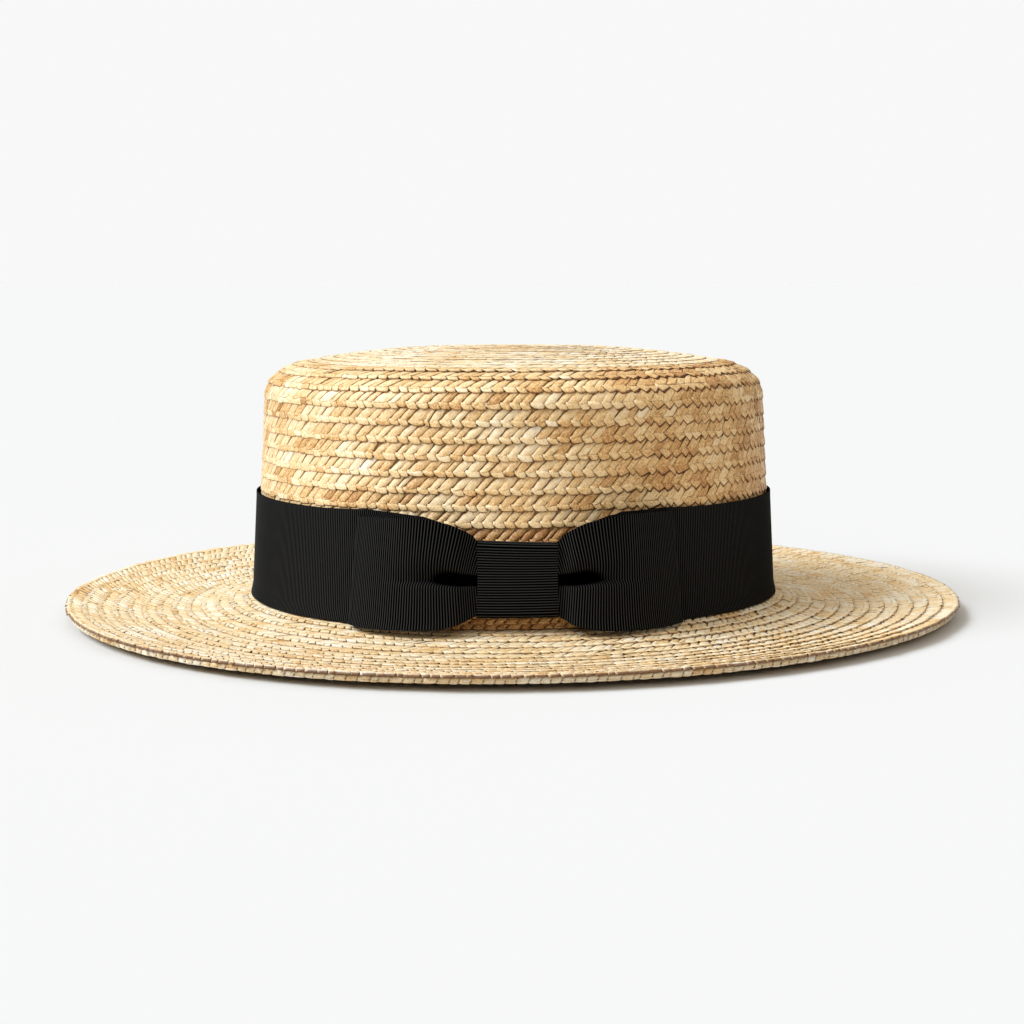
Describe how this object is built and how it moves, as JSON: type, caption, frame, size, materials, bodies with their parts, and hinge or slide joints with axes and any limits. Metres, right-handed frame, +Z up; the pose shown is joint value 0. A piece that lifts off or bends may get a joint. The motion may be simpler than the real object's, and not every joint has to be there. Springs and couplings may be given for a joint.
{
  "type": "straw boater hat",
  "caption": "Straw boater hat: low flat-topped crown and flat oval brim of sewn plait, with a ribbon band and a flat bow.",
  "frame": {"origin": "on the surface that the hat rests on, under the middle of the crown", "axes": "+X along the head's length, towards the narrower end of the oval; -Y is the side that carries the bow; +Z up"},
  "size_m": [0.3452, 0.3124, 0.1021],
  "materials": {
    "straw": "natural pale straw plait, sewn in rows, slight sheen",
    "ribbon": "black ribbed ribbon, matt"
  },
  "bodies": {
    "root": {"crown": "straw", "brim": "straw", "brim_edge_row": "straw", "hat_band": "ribbon", "bow_loop_left": "ribbon", "bow_loop_right": "ribbon", "bow_knot": "ribbon"}
  },
  "joints": []
}
